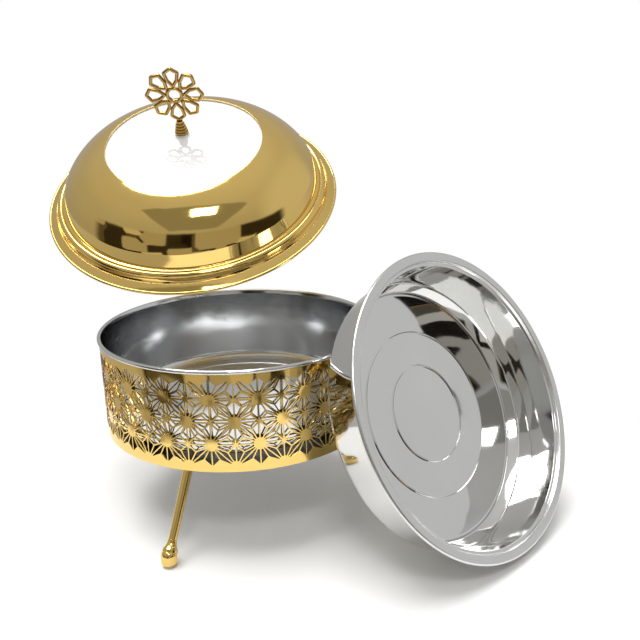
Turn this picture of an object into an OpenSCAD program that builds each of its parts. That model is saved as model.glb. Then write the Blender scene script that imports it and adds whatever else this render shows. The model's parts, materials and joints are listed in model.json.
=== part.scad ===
// Round chafing dish laid out in pieces: the footed base stands on the table, the domed lid is held
// tilted above it and the food pan leans on its heel against the base.
// Each piece is drawn about its own axis, and the arrangement below puts it in its place.

/* [Base] */
// Radius of the base over its rolled rim
base_r = 150; // [120:1:200]
// Height of the base's rim above the table
base_h = 201.5; // [180:0.5:230]
// Radius of the wire-like rolled rim
base_bead = 2.2; // [1.5:0.1:3]
// Height of the gold band
band_h = 99; // [90:1:110]
// Thickness of the gold band
band_t = 1.2; // [0.8:0.1:2]
// Depth of the water pan
water_depth = 90; // [70:1:91]

/* [Star lattice] */
// Stars round the band in each row
stars = 20; // [12:1:24]
// Height from the lower edge of the band to the lowest row of half stars
strip_h = 5.4; // [4:0.1:8]
// Height from the highest row of half stars to the upper edge of the band
strip_top_h = 3; // [2:0.1:6]
// Width of a lattice bar
bar_w = 1.3; // [1:0.1:2]
// Radius of the solid middle of a star
star_r = 6.2; // [4:0.1:7]
// Radius of the small knot between four stars
knot_r = 2.2; // [1.5:0.1:3]
// Turn of the star rows from straight ahead
star_turn = -6.1; // [-18:0.1:18]

/* [Legs] */
// Distance from the base's axis to the middle of each foot
foot_reach = 165; // [155:1:190]
// Distance from the base's axis to each leg's middle, level with the band's lower edge
leg_root = 110; // [108:1:125]
// Turn of the front leg from straight ahead
leg_turn = -22.7; // [-30:0.1:0]
// Radius of a leg at its upper end
leg_r = 4.9; // [4.5:0.1:5.4]
// Radius of a leg at its foot
ankle_r = 4.3; // [3.5:0.1:4.5]
// Radius of the ball of a foot
ball_r = 8; // [7:0.1:9]
// Height of the middle of a foot's ball
ball_z = 10.7; // [10:0.1:12]

/* [Lid] */
// Radius of the lid's brim
lid_r = 159; // [157:1:170]
// Height of the dome's crown, had it no window
crown_h = 82; // [76:0.1:86]
// Radius of the round window
window_r = 83; // [70:1:90]
// Radius of the dome over the window
crown_curve = 304; // [280:1:340]
// Radius of the dome's shoulder in section
shoulder_curve = 89; // [85:1:105]
// Radius where the dome meets its upright wall
lid_wall_r = 134.5; // [130:0.5:138]
// Height of the upright wall's foot over the brim
lid_wall_h = 15.5; // [14:0.5:18]
// Thickness of the spun sheet of the lid and the pans
sheet = 1; // [0.8:0.1:1.2]
// Thickness of the glass
glass_t = 4; // [3:0.1:5]

/* [Knob] */
// Number of petals of the flower
petals = 8; // [6:1:10]
// Radius of the flower
flower_r = 30.3; // [26:0.1:32]
// Thickness of the flower
flower_t = 4; // [3:0.1:4]
// Height of the flower's middle above the foot of its stem
flower_h = 44.3; // [44:0.1:46]
// Height of the ribbed stem
stem_h = 14.6; // [14:0.1:15]
// Radius of the stem's foot
stem_r = 7; // [6:0.1:8]

/* [Food pan] */
// Radius of the food pan over its rim
pan_r = 156; // [152:0.5:160]
// Depth of the food pan
pan_depth = 60; // [50:1:65]
// Radius of the food pan's mouth
pan_mouth_r = 143.5; // [142:0.5:145]

/* [Arrangement] */
// Place of the lid's brim to the right of the base's axis
lid_x = -47.5; // [-60:0.5:-40]
// Place of the lid's brim behind the base's axis
lid_y = 60; // [50:0.5:70]
// Height of the middle of the lid's brim
lid_z = 334; // [325:0.5:345]
// Tilt of the lid from level
lid_tilt = 29.9; // [28:0.1:32]
// Direction in which the lid leans, round from the right
lid_turn = -93.1; // [-100:0.1:-85]
// Tilt of the leaning food pan from level
pan_tilt = 62.6; // [60:0.1:65]
// Direction in which the food pan faces, round from the right
pan_turn = -43.7; // [-50:0.1:-40]
// Distance of the leaning pan's middle to the side of the line in which it faces
pan_side = 86.5; // [80:0.5:95]

/* [Hidden] */
$fn = 96;

gold = "#c9a24b";
steel = "#c9ccd1";
soft = "#e8e8e4";
fit_gap = 0.05;
rest_gap = 0.4;

// Base
bead_z = base_h - base_bead;
bead_ring_r = base_r - base_bead;
band_r = base_r - 2;
band_top = bead_z - base_bead - 0.1;
band_foot = band_top - band_h;
water_r = band_r - band_t - 0.8;
ring_top = band_foot + strip_h;
ring_t = 1.5;
ring_inner_r = 86;

// Star lattice: rows and columns are half a star's spacing apart
rows = 4;
row_h = (band_h - strip_h - strip_top_h) / rows;
column_a = 180 / stars;

// Legs
leg_turns = [for (i = [0:2]) leg_turn + 120 * i - 90];
pad_h = 1.5;
pad_r = 4.2;
foot_round = 3.5;
leg_splay = atan((foot_reach - leg_root) / (band_foot - ball_z));
leg_span = (band_foot - ball_z) / cos(leg_splay);
leg_top = leg_span - 2;
ankle = ball_r + 7.5;
spigot_r = 2.5;
bolt_r = 2.5;
bolt_head_h = 3;
washer_t = 0.8;
socket_h = 7;
socket_r = 13;
bolt_spots = [[-11, -7.5], [-11, 7.5]];

// Lid
brim_bead = 1.6;
crown_a = asin(window_r / crown_curve);
edge_h = crown_h - crown_curve * (1 - cos(crown_a));
shoulder_at = [window_r, edge_h] - shoulder_curve * [sin(crown_a), cos(crown_a)];
shoulder_a = asin((lid_wall_r - shoulder_at.x) / shoulder_curve);
glass_drop = 2.3;
glass_top = crown_h - glass_drop;
glass_r = window_r + 7;
glass_at = [0, glass_top - crown_curve];

// Knob
washer_h = 2;
knob_h = glass_top + washer_h;
screw_reach = 7.5;
screw_hole_r = 3.2;
under_glass = glass_top - glass_t - 0.2;
hub_r = 13.2;

// Food pan
pan_bead = 2;
pan_bead_r = pan_r - pan_bead;
pan_taper = 4.4;
pan_fillet = 10;
emboss_radii = [50, 86];
pan_heel_r = pan_mouth_r - pan_fillet * cos(pan_taper)
    - tan(pan_taper) * (pan_depth - sheet / 2 - pan_fillet * (1 - sin(pan_taper)));

// The food pan's heel touches the table, and its bottom stays rest_gap off the base's rim
pan_axis = [cos(pan_turn) * sin(pan_tilt), sin(pan_turn) * sin(pan_tilt), cos(pan_tilt)];
pan_z = pan_heel_r * sin(pan_tilt) + (pan_depth - pan_fillet) * cos(pan_tilt) + pan_fillet;
pan_reach = pan_depth + rest_gap + base_bead + bead_ring_r * sin(pan_tilt) + bead_z * cos(pan_tilt);
pan_out = (pan_reach - pan_z * cos(pan_tilt)) / sin(pan_tilt);
pan_at = [
    pan_out * cos(pan_turn) - pan_side * sin(pan_turn),
    pan_out * sin(pan_turn) + pan_side * cos(pan_turn),
    pan_z
];
lid_axis = [cos(lid_turn) * sin(lid_tilt), sin(lid_turn) * sin(lid_tilt), cos(lid_tilt)];
lid_at = [lid_x, lid_y, lid_z];

// The origin is on the table under the middle of the whole arrangement
function reach(axis, ring_r, bead) = [for (k = [0:1]) ring_r * sqrt(1 - pow(axis[k], 2)) + bead];
pan_mid = pan_at - pan_bead * pan_axis;
lid_mid = lid_at + brim_bead * lid_axis;
pan_half = reach(pan_axis, pan_bead_r, pan_bead);
lid_half = reach(lid_axis, lid_r - brim_bead, brim_bead);
base_at = -[
    (lid_mid.x - lid_half.x + pan_mid.x + pan_half.x) / 2,
    (lid_mid.y + lid_half.y + pan_mid.y - pan_half.y) / 2,
    0
];

// ---- Outlines ----

// Points of an arc about c from angle a0 to angle a1
function arc(c, r, a0, a1, steps = 12) =
    [for (i = [0:steps]) let (a = a0 + (a1 - a0) * i / steps) c + r * [cos(a), sin(a)]];

function reversed(list) = [for (i = [len(list) - 1:-1:0]) list[i]];

// Section of a spun bowl of thickness t from its axis to the top of its tapering wall
function bowl(top_r, top_z, floor_z, taper, fillet, t) =
    let (
        mid_z = floor_z + fillet,
        mid_r = top_r - fillet * cos(taper) - tan(taper) * (top_z - mid_z + fillet * sin(taper)),
        outside = arc([mid_r, mid_z], fillet, -90, -taper, 8),
        inside = arc([mid_r, mid_z], fillet - t, -90, -taper, 8)
    )
    concat(
        [[0, floor_z]], outside, [[top_r, top_z], [top_r - t / cos(taper), top_z]],
        reversed(inside), [[0, floor_z + t]]
    );

// Place of a point that is i columns and j rows from the lowest row, unrolled about column 0
function lattice(i, j) = [band_r * sin(i * column_a), band_foot + strip_h + j * row_h];

// The point at distance d from p on the way to q
function along(p, q, d) = p + (q - p) * d / norm(q - p);

// One opening between three lattice points, clear of the bars between them and of the disc on each point
function opening(p, discs) =
    let (
        side = [for (k = [0:2]) norm(p[(k + 1) % 3] - p[(k + 2) % 3])],
        girth = side[0] + side[1] + side[2],
        middle = (side[0] * p[0] + side[1] * p[1] + side[2] * p[2]) / girth,
        inner_r = abs(cross(p[1] - p[0], p[2] - p[0])) / girth,
        q = [for (k = [0:2]) middle + (p[k] - middle) * (1 - bar_w / 2 / inner_r)]
    )
    [
        for (k = [0:2], turn = [2, 1])
            let (cut = max(0.1, discs[k] - norm(q[k] - p[k])))
            along(q[k], q[(k + turn) % 3], cut)
    ];

// ---- Places ----

module on_base() translate(base_at) children();

module on_lid() translate(base_at + lid_at) rotate([0, lid_tilt, lid_turn]) children();

module at_leg(i) on_base() rotate([0, 0, leg_turns[i]]) children();

// Z runs up the leg from the middle of its ball
module on_leg(i) at_leg(i) translate([foot_reach, 0, ball_z]) rotate([0, -leg_splay, 0]) children();

module at_bolts(i) at_leg(i)
    for (spot = bolt_spots) translate([leg_root + spot.x, spot.y, ring_top]) children();

// ---- Lid ----

module lid_shell() {
    wall = [lid_wall_r + 3.5, lid_wall_h];
    bead_at = wall + [4.5, -3.5];
    brim_at = [lid_r - brim_bead, brim_bead];
    outside = concat(
        arc(shoulder_at, shoulder_curve, 90 - crown_a, 90 - shoulder_a),
        [wall],
        arc(bead_at, 4, 130, -10, 8),
        [[149, 6.5]]
    );
    inside = concat(
        arc(shoulder_at, shoulder_curve - sheet, 90 - crown_a, 90 - shoulder_a),
        [wall - [sheet, 0.6]],
        arc(bead_at, 4 - sheet, 130, -10, 8),
        [[148.6, 5.4]]
    );
    color(gold) on_lid() rotate_extrude()
        polygon(concat(outside, arc(brim_at, brim_bead, 115, -165, 20), reversed(inside)));
}

module lid_glass() {
    rim_a = asin(glass_r / crown_curve);
    section = concat(
        arc(glass_at, crown_curve, 90 - asin(screw_hole_r / crown_curve), 90 - rim_a),
        [[glass_r, glass_at.y + (crown_curve - glass_t) * cos(asin(glass_r / (crown_curve - glass_t)))]],
        reversed(arc(glass_at, crown_curve - glass_t, 90 - asin(screw_hole_r / (crown_curve - glass_t)), 90 - rim_a))
    );
    color("white") on_lid() rotate_extrude() polygon(section);
}

module glass_gasket() {
    r0 = window_r + 0.6;
    r1 = glass_r - 0.6;
    over = [for (r = [r0, r1])
        [r, shoulder_at.y + sqrt(pow(shoulder_curve - sheet, 2) - pow(r - shoulder_at.x, 2)) - 0.05]];
    under = [for (r = [r1, r0]) [r, glass_at.y + sqrt(pow(crown_curve, 2) - pow(r, 2)) + 0.05]];
    color(soft) on_lid() rotate_extrude() polygon(concat(over, under));
}

module glass_clamp_ring() {
    lip_z = glass_at.y + sqrt(pow(crown_curve - glass_t, 2) - pow(glass_r - 6, 2)) - 0.9;
    flange_z = shoulder_at.y + sqrt(pow(shoulder_curve - sheet, 2) - pow(glass_r + 10 - shoulder_at.x, 2)) - 0.4;
    color(steel) on_lid() rotate_extrude() polygon([
        [glass_r - 6, lip_z - sheet],
        [glass_r + 1.6, lip_z - sheet - 2],
        [glass_r + 10, flange_z - sheet],
        [glass_r + 10, flange_z],
        [glass_r + 0.6, lip_z - 2],
        [glass_r - 6, lip_z]
    ]);
}

// ---- Knob ----

// One petal, pointing up: a long hexagon between radius r0 and radius r1, with its two widths
module petal(r0, r1, w0, w1) polygon([
    [0, r0], [w0, r0 + (r1 - r0) * 0.32], [w1, r0 + (r1 - r0) * 0.76],
    [0, r1], [-w1, r0 + (r1 - r0) * 0.76], [-w0, r0 + (r1 - r0) * 0.32]
]);

module knob_flower() color(gold) on_lid() translate([0, 0, knob_h + flower_h]) {
    rotate([90, 0, 90]) translate([0, 0, -flower_t / 2]) linear_extrude(flower_t) difference() {
        union() {
            circle(hub_r, $fn = petals);
            for (i = [0:petals - 1]) rotate(i * 360 / petals) petal(8, flower_r, 6.2, 8.2);
        }
        rotate(180 / petals) circle(5.8, $fn = petals);
        for (i = [0:petals - 1]) rotate(i * 360 / petals) petal(11.2, flower_r - 3.6, 3.6, 5.3);
    }
    translate([0, 0, stem_h - flower_h - 5]) cylinder(r = spigot_r, h = 7);
}

module knob_ferrule() {
    ribs = 4;
    rib_h = (stem_h - 3) / ribs;
    color(gold) on_lid() translate([0, 0, knob_h]) rotate_extrude() difference() {
        union() {
            square([stem_r, 2]);
            square([3.8, stem_h]);
            for (i = [0:ribs - 1])
                translate([stem_r - 3.4 - 0.75 * i, 2 + rib_h * (i + 0.5)]) circle(rib_h * 0.62, $fn = 32);
        }
        square([spigot_r + fit_gap, screw_reach + 0.4]);
        translate([0, stem_h - 5.2]) square([spigot_r + fit_gap, 6]);
        translate([-20, -10]) square([20, 40]);
    }
}

module ring(r, hole_r, h, z) on_lid() translate([0, 0, z]) difference() {
    cylinder(r = r, h = h);
    translate([0, 0, -1]) cylinder(r = hole_r, h = h + 2);
}

module knob_washer_top() color(soft) ring(7.4, spigot_r + 0.1, washer_h - fit_gap, glass_top);

module knob_washer_bottom() color(soft) ring(7.4, spigot_r + 0.1, washer_h, under_glass - washer_h);

module knob_cup_washer() color(steel) ring(8.5, spigot_r + 0.1, 1, under_glass - washer_h - 1);

module knob_screw() color(steel) on_lid() translate([0, 0, under_glass - washer_h - 1]) {
    translate([0, 0, -bolt_head_h]) cylinder(r = 4.6, h = bolt_head_h);
    cylinder(r = spigot_r, h = knob_h + screw_reach - (under_glass - washer_h - 1));
}

// ---- Food pan ----

module food_pan() color(steel) translate(base_at + pan_at) rotate([0, pan_tilt, pan_turn]) rotate_extrude() {
    polygon(bowl(pan_mouth_r, -sheet / 2, -pan_depth, pan_taper, pan_fillet, sheet));
    translate([pan_mouth_r - sheet, -sheet]) square([pan_bead_r - pan_mouth_r + sheet, sheet]);
    translate([pan_bead_r, -pan_bead]) circle(pan_bead, $fn = 32);
    for (r = emboss_radii)
        translate([r - 2, -pan_depth + sheet / 2]) square([4, 1]);
}

// ---- Base ----

module water_pan() color(steel) on_base() rotate_extrude() {
    polygon(bowl(water_r, bead_z, base_h - water_depth, 2, 9, sheet));
    translate([bead_ring_r, bead_z]) circle(base_bead, $fn = 32);
}

// The four openings round the knot that is j rows up, each between the knot and two stars
module openings(j)
    for (across = [-1, 1], up = [-1, 1])
        if (j + up >= 0 && j + up <= rows)
            polygon(opening([lattice(0, j), lattice(across, j), lattice(0, j + up)], [knot_r, star_r, star_r]));

module pierced_band() color(gold) on_base() difference() {
    translate([0, 0, band_foot]) cylinder(r = band_r, h = band_h);
    translate([0, 0, band_foot - 1]) cylinder(r = band_r - band_t, h = band_h + 2);
    for (j = [0:rows], i = [0:stars - 1])
        rotate([0, 0, star_turn - 90 + (2 * i + j % 2) * column_a])
            translate([band_r - 6, 0, 0]) rotate([90, 0, 90]) linear_extrude(12) openings(j);
}

module base_ring() color(steel) difference() {
    on_base() {
        translate([0, 0, ring_top - ring_t]) cylinder(r = band_r - band_t, h = ring_t);
        translate([0, 0, band_foot + 1]) cylinder(r = band_r - band_t, h = ring_top - band_foot - 1);
    }
    on_base() translate([0, 0, band_foot]) cylinder(r = band_r - band_t - ring_t, h = ring_top - ring_t - band_foot);
    on_base() cylinder(r = ring_inner_r, h = base_h);
    for (i = [0:2]) at_bolts(i) translate([0, 0, -5]) cylinder(r = bolt_r + 0.3, h = 10);
}

// ---- Legs ----

module leg_socket(i) color(gold) difference() {
    union() {
        at_leg(i) translate([leg_root - 7, 0, ring_top - ring_t - socket_h]) cylinder(r = socket_r, h = socket_h);
        on_leg(i) translate([0, 0, leg_span - 14]) cylinder(r = leg_r + 2.6, h = 13);
    }
    on_leg(i) translate([0, 0, leg_span - 20]) cylinder(r = leg_r + fit_gap, h = 20 - 2 + fit_gap);
    at_bolts(i) translate([0, 0, -20]) cylinder(r = bolt_r + fit_gap, h = 30);
}

module leg_socket_front() leg_socket(0);
module leg_socket_right() leg_socket(1);
module leg_socket_rear() leg_socket(2);

module socket_bolts() color(steel) for (i = [0:2]) at_bolts(i) {
    translate([0, 0, washer_t]) cylinder(r = 4.3, h = bolt_head_h, $fn = 6);
    translate([0, 0, -8]) cylinder(r = bolt_r, h = 8 + washer_t + 1);
}

module socket_washers() color(steel) for (i = [0:2]) at_bolts(i) difference() {
    cylinder(r = 5.5, h = washer_t);
    translate([0, 0, -1]) cylinder(r = bolt_r + 0.2, h = 3);
}

module leg(i) color(gold) on_leg(i) {
    translate([0, 0, ankle]) cylinder(r1 = ankle_r, r2 = leg_r, h = leg_top - ankle - 12);
    translate([0, 0, leg_top - 12.1]) cylinder(r = leg_r, h = 12.1);
    translate([0, 0, ankle - 5]) cylinder(r = spigot_r, h = 6);
}

module leg_front() leg(0);
module leg_right() leg(1);
module leg_rear() leg(2);

module foot(i) color(gold) difference() {
    union() {
        at_leg(i) translate([foot_reach, 0, 0]) rotate_extrude() polygon(concat(
            [[0, pad_h]],
            arc([ball_r - foot_round, pad_h + foot_round], foot_round, -90, 0, 6),
            arc([0, ball_z], ball_r, 0, 90)
        ));
        on_leg(i) cylinder(r1 = ankle_r + 2.6, r2 = ankle_r + 0.2, h = ankle);
    }
    on_leg(i) translate([0, 0, ankle - 5.2]) cylinder(r = spigot_r + fit_gap, h = 6);
}

module foot_front() foot(0);
module foot_right() foot(1);
module foot_rear() foot(2);

module foot_pads() color(soft) for (i = [0:2]) at_leg(i) translate([foot_reach, 0, 0]) cylinder(r = pad_r, h = pad_h);

lid_shell();
lid_glass();
glass_gasket();
glass_clamp_ring();
knob_flower();
knob_ferrule();
knob_washer_top();
knob_washer_bottom();
knob_cup_washer();
knob_screw();
food_pan();
water_pan();
pierced_band();
base_ring();
leg_socket_front();
leg_socket_right();
leg_socket_rear();
socket_bolts();
socket_washers();
leg_front();
leg_right();
leg_rear();
foot_front();
foot_right();
foot_rear();
foot_pads();
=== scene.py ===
"""The looks of the chafing dish: spun lid and pans, star lattice, flower knob, legs, materials and studio.

Sizes of the pieces are in millimetres, as in the CAD part, and become metres when a mesh is made.
"""
import json
from math import acos, asin, atan, atan2, ceil, cos, degrees, pi, radians, sin, tan

import bmesh
import bpy
from mathutils import Matrix, Vector
from mathutils.geometry import delaunay_2d_cdt


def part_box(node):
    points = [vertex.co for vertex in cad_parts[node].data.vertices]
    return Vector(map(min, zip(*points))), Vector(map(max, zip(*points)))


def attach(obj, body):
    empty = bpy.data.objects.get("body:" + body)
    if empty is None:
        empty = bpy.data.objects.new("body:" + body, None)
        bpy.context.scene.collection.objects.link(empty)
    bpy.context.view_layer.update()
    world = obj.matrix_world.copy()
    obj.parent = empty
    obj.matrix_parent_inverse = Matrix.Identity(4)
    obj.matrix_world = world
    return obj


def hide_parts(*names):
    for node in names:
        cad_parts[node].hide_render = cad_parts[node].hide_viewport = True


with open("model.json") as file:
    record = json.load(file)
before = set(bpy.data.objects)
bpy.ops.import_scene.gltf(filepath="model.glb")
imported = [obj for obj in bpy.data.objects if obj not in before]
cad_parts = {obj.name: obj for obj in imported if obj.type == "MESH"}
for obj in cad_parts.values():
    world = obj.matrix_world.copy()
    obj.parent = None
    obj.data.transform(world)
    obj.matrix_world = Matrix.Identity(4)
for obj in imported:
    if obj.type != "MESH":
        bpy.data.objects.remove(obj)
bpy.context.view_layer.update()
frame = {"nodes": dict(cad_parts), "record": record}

MM = 0.001
NODES = frame["nodes"]
SPIN_STEPS = 256
ROD_STEPS = 96

# ---- Driving sizes, as in the CAD part (mm and degrees) ----

# Base
BASE_R = 150
BASE_H = 201.5
BASE_BEAD = 2.2
BAND_H = 99
BAND_T = 1.2
WATER_DEPTH = 90
SHEET = 1

# Star lattice
STARS = 20
LATTICE_ROWS = 4
STRIP_H = 5.4
STRIP_TOP_H = 3
BAR_W = 1.3
STAR_R = 6.2
KNOT_R = 2.2
STAR_TURN = -6.1

# Legs
FOOT_REACH = 165
LEG_ROOT = 110
LEG_TURN = -22.7
LEG_R = 4.9
ANKLE_R = 4.3
BALL_R = 8
BALL_Z = 10.7
PAD_H = 1.5

# Lid
LID_R = 159
CROWN_H = 82
WINDOW_R = 83
CROWN_CURVE = 304
SHOULDER_CURVE = 89
LID_WALL_R = 134.5
LID_WALL_H = 15.5
# Middle and radius of the bead's section
LID_BEAD = (143.0, 11.9)
LID_BEAD_R = 4.1
GLASS_T = 4
GLASS_DROP = 2.3
GLASS_LAP = 7
SCREW_HOLE_R = 3.2

# Knob
PETALS = 8
# Nearest and farthest point of a petal's middle line from the middle of the flower
PETAL_REACH = (9.6, 28.5)
PETAL_BAR_R = 1.8
EYE_R = 7.6
EYE_BAR_R = 1.9
FLOWER_H = 44.3
STEM_H = 14.6
STEM_R = 7
WASHER_H = 2

# Food pan
PAN_R = 156
PAN_DEPTH = 60
PAN_MOUTH_R = 143.5
PAN_TAPER = 4.4
PAN_FILLET = 10
PAN_BEAD = 2
# Radius, width and height of each ring pressed up from the floor
FLOOR_RINGS = ((128.6, 4.0, 0.7), (86, 3.4, 0.5), (50, 3.4, 0.5))

# Arrangement
LID_AT = (-47.5, 60, 334)
LID_TILT = 29.9
LID_TURN = -93.1
PAN_TILT = 62.6
PAN_TURN = -43.7
PAN_SIDE = 86.5
REST_GAP = 0.4

# Worked out from them
BAND_R = BASE_R - 2
BEAD_Z = BASE_H - BASE_BEAD
BEAD_RING_R = BASE_R - BASE_BEAD
BAND_FOOT = BEAD_Z - BASE_BEAD - 0.1 - BAND_H
WATER_R = BAND_R - BAND_T - 0.8
COLUMN = 180 / STARS
ROW_H = (BAND_H - STRIP_H - STRIP_TOP_H) / LATTICE_ROWS
LEG_SPLAY = degrees(atan((FOOT_REACH - LEG_ROOT) / (BAND_FOOT - BALL_Z)))
LEG_SPAN = (BAND_FOOT - BALL_Z) / cos(radians(LEG_SPLAY))
KNOB_H = CROWN_H - GLASS_DROP + WASHER_H
LEG_NAMES = ("front", "right", "rear")


# ---- Places ----

def place(x, y, z, tilt=0.0, turn=0.0):
    """Local to row frame: tilted about Y, then turned about Z, then moved to x, y, z in mm."""
    turned = Matrix.Rotation(radians(turn), 4, "Z") @ Matrix.Rotation(radians(tilt), 4, "Y")
    return Matrix.Translation(Vector((x, y, z)) * MM) @ turned


def pan_place():
    """The food pan leans with its heel on the table and its bottom just off the base's rim."""
    tilt, turn, taper = radians(PAN_TILT), radians(PAN_TURN), radians(PAN_TAPER)
    wall_h = PAN_DEPTH - SHEET / 2 - PAN_FILLET * (1 - sin(taper))
    heel_r = PAN_MOUTH_R - PAN_FILLET * cos(taper) - tan(taper) * wall_h
    z = heel_r * sin(tilt) + (PAN_DEPTH - PAN_FILLET) * cos(tilt) + PAN_FILLET
    reach = PAN_DEPTH + REST_GAP + BASE_BEAD + BEAD_RING_R * sin(tilt) + BEAD_Z * cos(tilt)
    out = (reach - z * cos(tilt)) / sin(tilt)
    x = out * cos(turn) - PAN_SIDE * sin(turn)
    y = out * sin(turn) + PAN_SIDE * cos(turn)
    return ON_BASE @ place(x, y, z, PAN_TILT, PAN_TURN)


base_low, base_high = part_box("water_pan")
base_mid = (base_low + base_high) / 2
ON_BASE = Matrix.Translation((base_mid.x, base_mid.y, 0))
ON_LID = ON_BASE @ place(*LID_AT, LID_TILT, LID_TURN)
ON_KNOB = ON_LID @ place(0, 0, KNOB_H)
ON_PAN = pan_place()


def at_leg(i):
    return ON_BASE @ place(0, 0, 0, 0, LEG_TURN - 90 + 120 * i)


def on_foot(i):
    return at_leg(i) @ place(FOOT_REACH, 0, 0)


def on_leg(i):
    """Z runs up the leg from the middle of its ball."""
    return at_leg(i) @ place(FOOT_REACH, 0, BALL_Z, -LEG_SPLAY)


# ---- Outlines: points (r, h) in mm ----

def arc(cx, cy, r, start, end, step=3.0):
    """Points of an arc about (cx, cy), from one angle to another in degrees."""
    count = max(2, ceil(abs(end - start) / step))
    angles = [radians(start + (end - start) * k / count) for k in range(count + 1)]
    return [(cx + r * cos(a), cy + r * sin(a)) for a in angles]


def rounded(points, step=12.0):
    """An outline whose points (x, y, radius) have their corners rounded; a point (x, y) stays as it is."""
    out = []
    for k, point in enumerate(points):
        if len(point) < 3 or k in (0, len(points) - 1):
            out.append(tuple(point[:2]))
            continue
        p = Vector(point[:2])
        a = (Vector(points[k - 1][:2]) - p).normalized()
        b = (Vector(points[k + 1][:2]) - p).normalized()
        half = acos(max(-1, min(1, a.dot(b)))) / 2
        c = p + (a + b).normalized() * point[2] / sin(half)
        run = point[2] / sin(half) * cos(half)
        pa, pb = p + a * run, p + b * run
        start = degrees(atan2(pa.y - c.y, pa.x - c.x))
        turn = (degrees(atan2(pb.y - c.y, pb.x - c.x)) - start + 180) % 360 - 180
        out += arc(c.x, c.y, point[2], start, start + turn, step)
    return out


# ---- Meshes ----

def add_object(name, bm, where, body, slot, nodes=(), material=None):
    """A smooth-shaded object from a bmesh in mm that rides on a body and stands for CAD nodes. Its
    material is that of its slot unless another is named."""
    bmesh.ops.recalc_face_normals(bm, faces=bm.faces)
    bm.transform(Matrix.Scale(MM, 4))
    mesh = bpy.data.meshes.new(name)
    bm.to_mesh(mesh)
    bm.free()
    mesh.polygons.foreach_set("use_smooth", [True] * len(mesh.polygons))
    mesh.set_sharp_from_angle(angle=radians(40))
    mesh.materials.append(MATERIALS[material or slot])
    obj = bpy.data.objects.new(name, mesh)
    bpy.context.scene.collection.objects.link(obj)
    obj.matrix_world = where
    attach(obj, body)
    if nodes:
        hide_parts(*nodes)
    return obj


def spun(outline, steps=SPIN_STEPS):
    """A bmesh turned from a closed outline of (r, h) about the Z axis. Points with r 0 lie on the axis."""
    bm = bmesh.new()
    rings = []
    for r, h in outline:
        if r < 1e-6:
            rings.append([bm.verts.new((0, 0, h))])
        else:
            angles = [2 * pi * k / steps for k in range(steps)]
            rings.append([bm.verts.new((r * cos(a), r * sin(a), h)) for a in angles])
    for low, high in zip(rings, rings[1:] + rings[:1]):
        for k in range(steps):
            n = (k + 1) % steps
            if len(low) == 1 and len(high) == 1:
                break
            if len(low) == 1:
                bm.faces.new((low[0], high[n], high[k]))
            elif len(high) == 1:
                bm.faces.new((low[k], low[n], high[0]))
            else:
                bm.faces.new((low[k], low[n], high[n], high[k]))
    return bm


# ---- Materials ----

class Shader:
    """A node material built line by line: each call adds one node and returns its first output."""

    def __init__(self, name, **sockets):
        self.material = bpy.data.materials.new(name)
        self.material.use_nodes = True
        self.tree = self.material.node_tree
        self.surface = self.tree.nodes["Principled BSDF"]
        for socket, value in sockets.items():
            self.surface.inputs[socket.replace("_", " ")].default_value = value

    def add(self, kind, inputs=(), output=0, **settings):
        """inputs is a dictionary of socket name or number to a value or to another node's output."""
        node = self.tree.nodes.new("ShaderNode" + kind)
        for key, value in settings.items():
            setattr(node, key, value)
        for key, value in dict(inputs).items():
            if isinstance(value, bpy.types.NodeSocket):
                self.tree.links.new(value, node.inputs[key])
            else:
                node.inputs[key].default_value = value
        return node.outputs[output]

    def math(self, operation, a, b=0.0):
        return self.add("Math", {0: a, 1: b}, operation=operation)

    def ramp(self, value, low, high):
        """Maps 0..1 to low..high, both numbers."""
        return self.add("MapRange", {"Value": value, "To Min": low, "To Max": high})

    def place(self):
        return self.add("TexCoord", output="Object")

    def noise(self, vector, scale, detail=3.0, rough=0.5):
        sockets = {"Vector": vector, "Scale": scale, "Detail": detail, "Roughness": rough}
        return self.add("TexNoise", sockets)

    def mix(self, factor, a, b):
        sockets = {"Factor": factor, 6: a, 7: b}
        return self.add("Mix", sockets, output=2, data_type="RGBA")

    def bump(self, height, strength, distance, normal=None):
        sockets = {"Height": height, "Strength": strength, "Distance": distance}
        if normal is not None:
            sockets["Normal"] = normal
        return self.add("Bump", sockets)

    def link(self, value, socket):
        self.tree.links.new(value, self.surface.inputs[socket])

    def turned_place(self):
        """Radius, height and a little of the angle, which a tool's marks on a spun piece follow."""
        parts = self.add("SeparateXYZ", {0: self.place()}).node
        x, y, z = parts.outputs
        r = self.math("SQRT", self.math("ADD", self.math("MULTIPLY", x, x), self.math("MULTIPLY", y, y)))
        angle = self.math("MULTIPLY", self.math("ARCTAN2", y, x), 0.0006)
        return self.add("CombineXYZ", {0: r, 1: z, 2: angle})


def polished(name, bright, deep, rough, wave, spin=0.0, smudge=0.06, satin=None):
    """Polished metal: bright and deep are its two tones, wave the height of the hand-polished waviness in
    metres, spin the strength of the fine rings left by spinning and smudge the spread of roughness. Its
    polish turns to satin from the first to the second height in satin, in metres."""
    s = Shader(name, Metallic=1.0, Specular_IOR_Level=0.5)
    where = s.place()
    cloud = s.noise(where, 14.0, 4.0)
    s.link(s.mix(cloud, (*deep, 1), (*bright, 1)), "Base Color")
    wipes = s.noise(where, 45.0, 6.0, 0.62)
    roughness = s.ramp(wipes, rough - smudge / 2, rough + smudge)
    height = s.bump(s.noise(where, 22.0, 2.0), 1.0, wave)
    if spin:
        rings = s.noise(s.turned_place(), 1100.0, 2.0, 0.5)
        height = s.bump(rings, spin, 0.00001, height)
    if satin:
        level = s.add("SeparateXYZ", {0: where}, output=2)
        reach = {"Value": level, "From Min": satin[0], "From Max": satin[1], "To Max": 0.2}
        roughness = s.math("ADD", roughness, s.add("MapRange", reach))
    s.link(roughness, "Roughness")
    s.link(height, "Normal")
    return s.material


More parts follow.
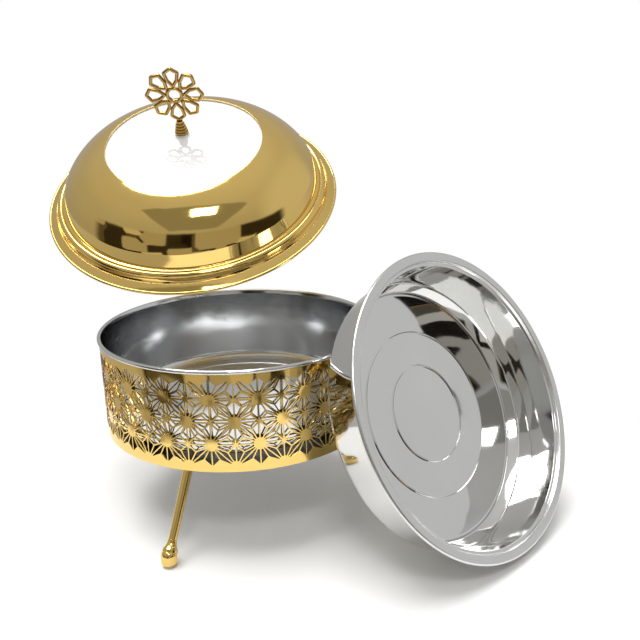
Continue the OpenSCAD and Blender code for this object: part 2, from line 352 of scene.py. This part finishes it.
def opal_glass():
    s = Shader("opal_glass", Roughness=0.07, IOR=1.5, Coat_Weight=0.4, Coat_Roughness=0.03)
    where = s.place()
    cloud = s.noise(where, 9.0, 3.0)
    s.link(s.mix(cloud, (0.93, 0.93, 0.92, 1), (0.97, 0.97, 0.965, 1)), "Base Color")
    s.link(s.bump(s.noise(where, 16.0, 2.0), 1.0, 0.00008), "Normal")
    s.surface.inputs["Subsurface Weight"].default_value = 0.25
    s.surface.inputs["Subsurface Scale"].default_value = 0.006
    s.surface.inputs["Subsurface Radius"].default_value = (1.0, 1.0, 1.0)
    return s.material


def silicone():
    s = Shader("silicone", IOR=1.42, Subsurface_Weight=0.3, Subsurface_Scale=0.002)
    where = s.place()
    grain = s.noise(where, 300.0, 4.0)
    s.link(s.mix(grain, (0.78, 0.78, 0.75, 1), (0.88, 0.88, 0.86, 1)), "Base Color")
    s.link(s.ramp(grain, 0.42, 0.6), "Roughness")
    s.link(s.bump(grain, 0.3, 0.0001), "Normal")
    return s.material


GOLD_BRIGHT = (0.85, 0.61, 0.21)
GOLD_DEEP = (0.77, 0.53, 0.16)
# The knob's two gold tones are darker than the spun gold's. This is painted shade, standing in for the
# darker room its thin bars mirror.
SHADED_CAST_BRIGHT = (0.66, 0.44, 0.14)
SHADED_CAST_DEEP = (0.36, 0.21, 0.05)
STEEL_BRIGHT = (0.74, 0.74, 0.73)
STEEL_DEEP = (0.66, 0.66, 0.65)
WELL_BRIGHT = (0.70, 0.71, 0.72)
WELL_DEEP = (0.60, 0.61, 0.62)
PLAIN_BRIGHT = (0.66, 0.67, 0.68)
PLAIN_DEEP = (0.56, 0.57, 0.58)
PAN_SATIN = (-0.004, -0.003)
WELL_SATIN = (0.118, 0.114)

MATERIALS = {
    "gold_spun": polished("gold_spun", GOLD_BRIGHT, GOLD_DEEP, 0.055, 0.0004, 0.12),
    "gold_band": polished("gold_band", GOLD_BRIGHT, GOLD_DEEP, 0.09, 0.0018),
    # gold_cast, used on the knob, has painted shade in its darker base colour
    "gold_cast": polished("gold_cast", SHADED_CAST_BRIGHT, SHADED_CAST_DEEP, 0.16, 0.0006, 0.0, 0.12),
    "gold_rod": polished("gold_rod", GOLD_BRIGHT, GOLD_DEEP, 0.08, 0.0003, 0.15),
    "steel_pan": polished("steel_pan", STEEL_BRIGHT, STEEL_DEEP, 0.05, 0.0003, 0.12, 0.04, PAN_SATIN),
    "steel_well": polished("steel_well", WELL_BRIGHT, WELL_DEEP, 0.11, 0.0003, 0.1, 0.04, WELL_SATIN),
    "steel_plain": polished("steel_plain", PLAIN_BRIGHT, PLAIN_DEEP, 0.22, 0.0004, 0.0, 0.1),
    "opal_glass": opal_glass(),
    "silicone": silicone(),
}


def finish_nodes():
    """Gives every CAD node the material of its slot."""
    for part in frame["record"]["subparts"]:
        obj = NODES[part["node"]]
        obj.data.materials.clear()
        obj.data.materials.append(MATERIALS[part["material_slot"]])


# ---- Lid ----

def lid_shell():
    """The spun dome: window edge, shoulder, crease, upright wall, bead, groove, flange and rolled brim."""
    crown_a = degrees(asin(WINDOW_R / CROWN_CURVE))
    edge_h = CROWN_H - CROWN_CURVE * (1 - cos(radians(crown_a)))
    middle_r = WINDOW_R - SHOULDER_CURVE * sin(radians(crown_a))
    middle_h = edge_h - SHOULDER_CURVE * cos(radians(crown_a))
    shoulder_a = degrees(asin((LID_WALL_R - middle_r) / SHOULDER_CURVE))
    start, end = 90 - crown_a - 0.6, 90 - shoulder_a + 1.2
    dome = arc(middle_r, middle_h, SHOULDER_CURVE, start, end, 1.5)
    inner_dome = arc(middle_r, middle_h, SHOULDER_CURVE - SHEET, start, end, 3)
    crease = (LID_WALL_R, middle_h + SHOULDER_CURVE * cos(radians(shoulder_a)))
    wall_foot = (LID_WALL_R + 3.5, LID_WALL_H)
    hem = arc(WINDOW_R + 0.35, edge_h - 0.62, 0.5, 250, 75, 15)
    wall = rounded([
        dome[-1],
        (*crease, 1.6),
        (wall_foot[0] - 0.3, wall_foot[1] + 0.4, 0.7),
        (139.9, 15.6)
    ])
    bead = arc(*LID_BEAD, LID_BEAD_R, 125, -8, 8)
    flange = rounded([bead[-1], (147.6, 8.3, 0.8), (148.6, 6.5, 0.2), (149.4, 7.0, 0.5), (156.6, 3.3)])
    lip = arc(LID_R - 1.65, 1.6, 1.6, 110, -150, 12)
    under = [(155.0, 2.7), (148.8, 5.5), (146.3, 9.0)]
    inner_bead = arc(*LID_BEAD, LID_BEAD_R - SHEET, -8, 125, 15)
    inner_wall = [(wall_foot[0] - 1.2, wall_foot[1]), (crease[0] - 1.2, crease[1] - 0.6)]
    outline = hem + dome + wall[1:] + bead + flange[1:-1] + lip + under + inner_bead + inner_wall
    outline += inner_dome[::-1]
    add_object("lid_dome", spun(outline), ON_LID, "lid", "gold_spun", ["lid_shell"])


def lid_glass():
    """The domed opal window, thicker than the sheet round it, with a hole for the screw."""
    edge_r = WINDOW_R + GLASS_LAP
    centre = CROWN_H - GLASS_DROP - CROWN_CURVE
    inner_curve = CROWN_CURVE - GLASS_T
    rim_a = degrees(asin((edge_r - 0.8) / CROWN_CURVE))
    hole_a = degrees(asin(SCREW_HOLE_R / CROWN_CURVE))
    top = arc(0, centre, CROWN_CURVE, 90 - hole_a, 90 - rim_a, 0.5)
    mid_h = centre + (CROWN_CURVE - GLASS_T / 2) * cos(radians(rim_a))
    under = arc(0, centre, inner_curve, 90 - rim_a, 90 - hole_a, 0.5)
    outline = top + [(edge_r - 0.1, mid_h + 0.9), (edge_r - 0.1, mid_h - 0.9)] + under
    add_object("lid_window", spun(outline), ON_LID, "lid", "opal_glass", ["lid_glass"])


# ---- Knob ----

def ferrule():
    """The ribbed stem under the flower, widening to its foot."""
    ribs = 4
    rib_h = (STEM_H - 2.5) / ribs
    outline = [(2.6, 0.0), (STEM_R, 0.0)]
    for k in range(ribs):
        r = STEM_R - 0.75 * k
        z = rib_h * k
        outline += arc(r - 1.9, z + rib_h * 0.5, 1.9, -52, 52, 13)
        outline.append((r - 1.35, z + rib_h))
    outline += [(3.6, STEM_H - 1.6), (3.3, STEM_H), (2.6, STEM_H)]
    add_object("knob_stem", spun(outline, ROD_STEPS), ON_KNOB, "knob", "gold_cast", ["knob_ferrule"])


def wire_loop(points, radius):
    """A bmesh tube of the given radius round a closed flat outline of (across, up)."""
    curve = bpy.data.curves.new("loop", "CURVE")
    curve.dimensions = "3D"
    curve.fill_mode = "FULL"
    curve.bevel_depth = radius
    curve.bevel_resolution = 4
    spline = curve.splines.new("POLY")
    spline.points.add(len(points) - 1)
    for point, (y, z) in zip(spline.points, points):
        point.co = (0, y, z, 1)
    spline.use_cyclic_u = True
    obj = bpy.data.objects.new("loop", curve)
    bpy.context.scene.collection.objects.link(obj)
    mesh = bpy.data.meshes.new_from_object(obj.evaluated_get(bpy.context.evaluated_depsgraph_get()))
    bm = bmesh.new()
    bm.from_mesh(mesh)
    bpy.data.objects.remove(obj)
    bpy.data.curves.remove(curve)
    bpy.data.meshes.remove(mesh)
    return bm


def petal_outline():
    """The middle line of one petal's bar: a long hexagon that points up, as (across, up)."""
    low, high = PETAL_REACH
    span = high - low
    shoulders = [(4.7, low + 0.32 * span), (6.8, low + 0.76 * span)]
    corners = [(0, low)] + shoulders + [(0, high)] + [(-y, z) for y, z in shoulders[::-1]]
    closed = [corners[-1]] + [(*c, 1.2) for c in corners] + [corners[0]]
    return rounded(closed, 20)[1:-1]


def flower():
    """Eight open petals round an open middle, facing along X, on the end of the stem."""
    parts = []
    for k in range(PETALS):
        petal = wire_loop(petal_outline(), PETAL_BAR_R)
        petal.transform(Matrix.Rotation(2 * pi * k / PETALS, 4, "X"))
        parts.append(petal)
    turns = [2 * pi * (k + 0.5) / PETALS for k in range(PETALS)]
    parts.append(wire_loop([(EYE_R * cos(a), EYE_R * sin(a)) for a in turns], EYE_BAR_R))
    bm = bmesh.new()
    for part in parts:
        mesh = bpy.data.meshes.new("part")
        part.to_mesh(mesh)
        bm.from_mesh(mesh)
        part.free()
        bpy.data.meshes.remove(mesh)
    bm.transform(Matrix.Translation((0, 0, FLOWER_H)))
    add_object("knob_rosette", bm, ON_KNOB, "knob", "gold_cast", ["knob_flower"])


# ---- Food pan ----

def ridge(r, z, width, height):
    """A low rounded ring pressed up from a floor at height z."""
    return [
        (r + width * u, z + height * cos(pi * u) ** 2)
        for u in (0.5, 0.4, 0.3, 0.2, 0.1, 0.0, -0.1, -0.2, -0.3, -0.4, -0.5)
    ]


def food_pan():
    """The lift-out pan: rolled rim, flat flange, step, ledge, tapering wall and ringed floor."""
    floor = SHEET - PAN_DEPTH
    taper = tan(radians(PAN_TAPER))
    wall_r = PAN_MOUTH_R - 1.1
    rim = arc(PAN_R - PAN_BEAD, -PAN_BEAD, PAN_BEAD, -120, 100, 12)
    inside = rounded([
        rim[-1],
        (PAN_MOUTH_R + 3.2, -0.3, 1.4),
        (PAN_MOUTH_R + 2.0, -4.2, 0.8),
        (wall_r, -4.8, 0.8),
        (wall_r - 45 * taper, -50, 6.0),
        (131.5, floor + 0.6, 4.0),
        (130.7, floor + 0.2)
    ])
    outline = rim + inside[1:]
    for r, width, height in FLOOR_RINGS:
        outline += ridge(r, floor, width, height)
    outline += [(0, floor)]
    outline += rounded([
        (0, -PAN_DEPTH),
        (PAN_MOUTH_R - (PAN_DEPTH - 1) * taper, -PAN_DEPTH, PAN_FILLET),
        (PAN_MOUTH_R - 5 * taper, -5.6, 0.4),
        (PAN_MOUTH_R + 2.6, -5.0, 0.8),
        (PAN_MOUTH_R + 4.0, -1.2, 0.9),
        (PAN_R - 3.8, -1.2)
    ])
    add_object("food_pan_shell", spun(outline), ON_PAN, "pan", "steel_pan", ["food_pan"])


# ---- Base ----

def water_pan():
    """The fixed well: rim rolled out over the band, steep wall and a rounded foot."""
    floor = BASE_H - WATER_DEPTH
    rim = arc(BEAD_RING_R, BEAD_Z, BASE_BEAD - 0.05, -100, 165, 10)
    inner = rounded([
        rim[-1],
        (WATER_R - 0.9, BEAD_Z - 3, 2.0),
        (WATER_R - 3.6, floor + SHEET, 10.0),
        (124, floor + SHEET)
    ])
    outline = rim + inner[1:] + ridge(118, floor + SHEET, 5.0, 1.0) + [(0, floor + SHEET), (0, floor)]
    outline += rounded([
        (0, floor),
        (WATER_R - 2.6, floor, 11.0),
        (WATER_R, BEAD_Z - 4, 1.0),
        (WATER_R + 0.3, BEAD_Z - BASE_BEAD - 0.3)
    ])[1:]
    add_object("water_well", spun(outline), ON_BASE, "base", "steel_well", ["water_pan"])


def lattice_point(i, j):
    """Column i and row j on the unrolled band: (degrees, mm)."""
    return Vector((i * COLUMN, STRIP_H + j * ROW_H))


def opening_outline(corners, discs):
    """One opening between three points, in mm: its sides are half a bar inside the triangle, and each
    corner is cut by an arc of the disc that stands on it. Its points run anticlockwise."""
    if (corners[1] - corners[0]).cross(corners[2] - corners[0]) < 0:
        corners, discs = corners[::-1], discs[::-1]
    outline = []
    for k in range(3):
        p, before, after = corners[k], corners[k - 1], corners[(k + 1) % 3]
        a = (before - p).normalized()
        b = (after - p).normalized()
        half = acos(max(-1, min(1, a.dot(b)))) / 2
        corner_d = BAR_W / 2 / sin(half)
        if discs[k] <= corner_d + 0.1:
            outline.append(p + (a + b).normalized() * corner_d)
            continue
        off = asin(BAR_W / 2 / discs[k])
        sweep = 2 * half - 2 * off
        count = max(1, ceil(discs[k] * sweep / 0.9))
        for n in range(count + 1):
            outline.append(p + Matrix.Rotation(-off - sweep * n / count, 2) @ a * discs[k])
    return outline


def tile_openings():
    """The openings between column 0 and column 1, where a point with i + j even is a knot."""
    scale = BAND_R * radians(1)
    outlines = []
    for j in range(LATTICE_ROWS):
        corners = {(i, y): lattice_point(i, y) for i in (0, 1) for y in (j, j + 1)}
        mm = {key: Vector((p.x * scale, p.y)) for key, p in corners.items()}
        knots = [key for key in mm if sum(key) % 2 == 0]
        stars = [key for key in mm if sum(key) % 2 == 1]
        for knot in knots:
            branch = (mm[knot] + mm[stars[0]] + mm[stars[1]]) / 3
            outlines.append(opening_outline([mm[stars[0]], mm[stars[1]], branch], [STAR_R, STAR_R, 0.9]))
            for star in stars:
                if knot[1] == star[1] and knot[1] in (0, LATTICE_ROWS):
                    continue
                outlines.append(opening_outline([mm[knot], mm[star], branch], [KNOT_R, STAR_R, 0.9]))
    return outlines


def band_tile():
    """One column of the lattice as flat faces in mm, cut every degree and a half so that it can bend."""
    width = COLUMN * BAND_R * radians(1)
    points = [Vector((0, 0)), Vector((width, 0)), Vector((width, BAND_H)), Vector((0, BAND_H))]
    faces = [[0, 1, 2, 3]]
    for outline in tile_openings():
        faces.append(list(range(len(points), len(points) + len(outline))))
        points += outline
    edges = []
    for k in range(1, 6):
        edges.append((len(points), len(points) + 1))
        points += [Vector((width * k / 6, 0)), Vector((width * k / 6, BAND_H))]
    verts, _, tris, _, _, origin = delaunay_2d_cdt(points, edges, faces, 0, 1e-4)
    return verts, [t for t, source in zip(tris, origin) if source == [0]], width


def pierced_band():
    """The band: the tile and its mirror image by turns all the way round, as thick as the sheet."""
    verts, tris, width = band_tile()
    bm = bmesh.new()
    for column in range(2 * STARS):
        flip = column % 2
        ring = []
        for v in verts:
            x = width - v.x if flip else v.x
            a = radians(STAR_TURN - 90 + column * COLUMN) + x / BAND_R
            ring.append(bm.verts.new((BAND_R * cos(a), BAND_R * sin(a), BAND_FOOT + v.y)))
        for tri in tris:
            bm.faces.new([ring[k] for k in tri])
    bmesh.ops.remove_doubles(bm, verts=bm.verts, dist=0.01)
    bmesh.ops.recalc_face_normals(bm, faces=bm.faces)
    front = list(bm.faces)
    back = bmesh.ops.duplicate(bm, geom=list(bm.verts) + list(bm.edges) + front)
    pairs = {v: back["vert_map"][v] for v in {v for f in front for v in f.verts}}
    for v, twin in pairs.items():
        twin.co = Vector((v.co.x, v.co.y, 0)) * (1 - BAND_T / BAND_R) + Vector((0, 0, v.co.z))
    edges = {e for f in front for e in f.edges if len(e.link_faces) == 1}
    for e in edges:
        a, b = e.verts
        bm.faces.new((a, b, pairs[b], pairs[a]))
    obj = add_object("star_band", bm, ON_BASE, "base", "gold_band", ["pierced_band"])
    bevel = obj.modifiers.new("edge", "BEVEL")
    bevel.width = 0.14 * MM
    bevel.segments = 1
    bevel.limit_method = "ANGLE"
    bevel.angle_limit = radians(55)


# ---- Legs ----

def legs():
    """Three tapered rods, each with a ball foot that ends flat on its pad and flares up into the rod."""
    leg_top = LEG_SPAN - 2
    ankle = BALL_R + 7.5
    rod = [(0, ankle), (ANKLE_R - 0.3, ankle), (ANKLE_R, ankle + 0.3)]
    rod += [(LEG_R, leg_top - 12), (LEG_R, leg_top - 0.5), (LEG_R - 0.5, leg_top), (0, leg_top)]
    neck = [(0, 4), (BALL_R - 0.1, 4), (BALL_R - 0.4, 6.5)]
    for k in range(9):
        u = k / 8
        neck.append((ANKLE_R + 0.35 + (BALL_R - ANKLE_R - 0.9) * (1 - u) ** 2.2, 6.5 + (ankle - 6.9) * u))
    neck += [(ANKLE_R - 0.2, ankle - 0.05), (0, ankle - 0.05)]
    round_r = 3.5
    ball = [(0, PAD_H)] + arc(BALL_R - round_r, PAD_H + round_r, round_r, -90, 0, 9)
    ball += arc(0, BALL_Z, BALL_R, 0, 90, 6)[:-1] + [(0, BALL_Z + BALL_R)]
    for i, name in enumerate(LEG_NAMES):
        pieces = [
            (f"leg_rod_{name}", rod, on_leg(i), "gold_rod", [f"leg_{name}"]),
            (f"foot_ball_{name}", ball, on_foot(i), "gold_cast", [f"foot_{name}"]),
            (f"foot_neck_{name}", neck, on_leg(i), "gold_cast", [])
        ]
        for piece, outline, where, slot, nodes in pieces:
            add_object(piece, spun(outline, ROD_STEPS), where, "base", slot, nodes, "gold_rod")


# ---- Studio ----

FLOOR_R = 0.46
FLOOR_MID = (0.0, 0.03)


def floor():
    """A round pale table top, which ends where its reflection in the front of the band does."""
    s = Shader("floor_pale", Specular_IOR_Level=0.2)
    where = s.place()
    cloud = s.noise(where, 3.0, 3.0)
    s.link(s.mix(cloud, (0.90, 0.90, 0.89, 1), (0.94, 0.94, 0.935, 1)), "Base Color")
    s.link(s.ramp(cloud, 0.6, 0.75), "Roughness")
    bm = bmesh.new()
    bmesh.ops.create_circle(bm, cap_ends=True, segments=192, radius=FLOOR_R)
    mesh = bpy.data.meshes.new("floor")
    bm.to_mesh(mesh)
    bm.free()
    mesh.materials.append(s.material)
    obj = bpy.data.objects.new("floor", mesh)
    obj.location = (*FLOOR_MID, -0.0002)
    bpy.context.scene.collection.objects.link(obj)


def softbox(name, at, target, size, power):
    """A white rectangular light that shines from one point towards another and isn't seen itself."""
    light = bpy.data.lights.new(name, "AREA")
    light.shape = "RECTANGLE"
    light.size, light.size_y = size
    light.energy = power
    obj = bpy.data.objects.new(name, light)
    obj.location = at
    obj.rotation_euler = (Vector(target) - Vector(at)).to_track_quat("-Z", "Y").to_euler()
    obj.visible_camera = False
    bpy.context.scene.collection.objects.link(obj)


def overhead(strength, spread, lean):
    """A broad, soft light from above, which leans towards the viewer's left."""
    light = bpy.data.lights.new("overhead", "SUN")
    light.energy = strength
    light.angle = radians(spread)
    obj = bpy.data.objects.new("overhead", light)
    obj.rotation_euler = Vector(lean).to_track_quat("Z", "Y").to_euler()
    bpy.context.scene.collection.objects.link(obj)


class World:
    """The nodes of the world, added in the same way as those of a material."""

    def __init__(self, name):
        self.world = bpy.data.worlds.new(name)
        self.world.use_nodes = True
        self.tree = self.world.node_tree
        self.tree.nodes.clear()
        bpy.context.scene.world = self.world

    add = Shader.add
    math = Shader.math
    mix = Shader.mix

    def between(self, value, low, high, soft):
        """1 where value lies between low and high, with soft edges, and 0 outside."""
        up = {"Value": value, "From Min": low - soft, "From Max": low}
        down = {"Value": value, "From Min": high + soft, "From Max": high}
        edges = [self.add("MapRange", edge, interpolation_type="SMOOTHSTEP") for edge in (up, down)]
        return self.math("MULTIPLY", *edges)


def grey(value, tint=(1.0, 0.99, 0.96)):
    return (value * tint[0], value * tint[1], value * tint[2], 1)


def color_ramp(nodes, value, stops, constant=False):
    """A colour ramp through stops of (position, colour)."""
    out = nodes.add("ValToRGB", {"Fac": value})
    ramp = out.node.color_ramp
    ramp.interpolation = "CONSTANT" if constant else "EASE"
    while len(ramp.elements) < len(stops):
        ramp.elements.new(0.5)
    for element, (position, color) in zip(ramp.elements, stops):
        element.position = position
        element.color = color
    return out


def room():
    """What the metal mirrors: pale walls and ceiling, a bright wall to the right, a darker ceiling panel,
    and furnishings of uneven widths low down on the viewer's side."""
    w = World("room")
    direction = w.add("TexCoord", output="Generated")
    x, y, z = w.add("SeparateXYZ", {0: direction}).node.outputs
    rise = w.math("ADD", w.math("MULTIPLY", z, 0.5), 0.5)
    walls = color_ramp(w, rise, [
        (0.0, grey(0.45)), (0.46, grey(0.55)), (0.52, grey(0.42)),
        (0.68, grey(0.48)), (0.85, grey(0.56)), (1.0, grey(0.68))
    ])
    right = w.add("VectorMath", {0: direction, 1: (0.95, 0.12, 0.28)}, output=1, operation="DOT_PRODUCT")
    reach = {"Value": right, "From Min": 0.72, "From Max": 0.92}
    bright = w.add("MapRange", reach, interpolation_type="SMOOTHSTEP")
    walls = w.mix(bright, walls, grey(0.66, (1, 1, 0.985)))
    across = w.between(w.math("DIVIDE", x, z), -0.75, 0.80, 0.04)
    along = w.between(w.math("DIVIDE", y, z), -2.3, -0.72, 0.04)
    panel = w.math("MULTIPLY", w.math("MULTIPLY", across, along), w.math("GREATER_THAN", z, 0.05))
    walls = w.mix(panel, walls, grey(0.30, (1, 0.99, 0.9)))
    azimuth = w.math("ARCTAN2", x, y)
    plan = w.add("CombineXYZ", {0: w.math("MULTIPLY", azimuth, 3.2), 1: w.math("MULTIPLY", z, 2.6), 2: 7.0})
    spread = {"Vector": plan, "Scale": 1.0, "Randomness": 0.85}
    cells = w.add("TexVoronoi", spread, output=1, distance="CHEBYCHEV")
    pick = w.add("SeparateXYZ", {0: cells})
    things = color_ramp(w, pick, [
        (0.0, (0.012, 0.010, 0.008, 1)), (0.22, (0.10, 0.085, 0.06, 1)), (0.42, (0.42, 0.40, 0.36, 1)),
        (0.60, (0.035, 0.028, 0.020, 1)), (0.78, (0.60, 0.57, 0.52, 1)), (0.92, (0.34, 0.20, 0.09, 1))
    ], constant=True)
    share = w.math("MULTIPLY", w.between(z, -0.36, 0.30, 0.05), w.between(y, -2.0, -0.25, 0.15))
    mirrored = w.mix(share, walls, things)
    backdrop = w.add("LightPath", output="Is Camera Ray")
    seen = w.mix(backdrop, mirrored, (1, 1, 1, 1))
    shine = w.add("Background", {"Color": seen, "Strength": 1.0})
    out = w.tree.nodes.new("ShaderNodeOutputWorld")
    w.tree.links.new(shine, out.inputs["Surface"])


def camera():
    """The photograph's viewpoint: 45 mm lens, 17 degrees down, and a slight roll."""
    pitch, roll = radians(16.91), radians(-1.33)
    data = bpy.data.cameras.new("camera")
    data.lens = 45
    data.sensor_width = 36
    data.clip_start = 0.05
    obj = bpy.data.objects.new("camera", data)
    side = Vector((1, 0, 0))
    up = Vector((0, sin(pitch), cos(pitch)))
    right = cos(roll) * side + sin(roll) * up
    top = -sin(roll) * side + cos(roll) * up
    turned = Matrix((right, top, right.cross(top))).transposed()
    obj.matrix_world = ON_BASE @ place(89.8, -837, 457.3) @ turned.to_4x4()
    bpy.context.scene.collection.objects.link(obj)
    bpy.context.scene.camera = obj


# ---- Making ----

finish_nodes()
lid_shell()
lid_glass()
ferrule()
flower()
food_pan()
water_pan()
pierced_band()
legs()

floor()
room()
overhead(2.4, 40, (-0.2, 0.05, 1.0))
softbox("window", (0.1, -1.45, 1.8), (-0.1, 0, 0.3), (0.6, 0.36), 9)
camera()
bpy.context.scene.view_settings.view_transform = "Standard"
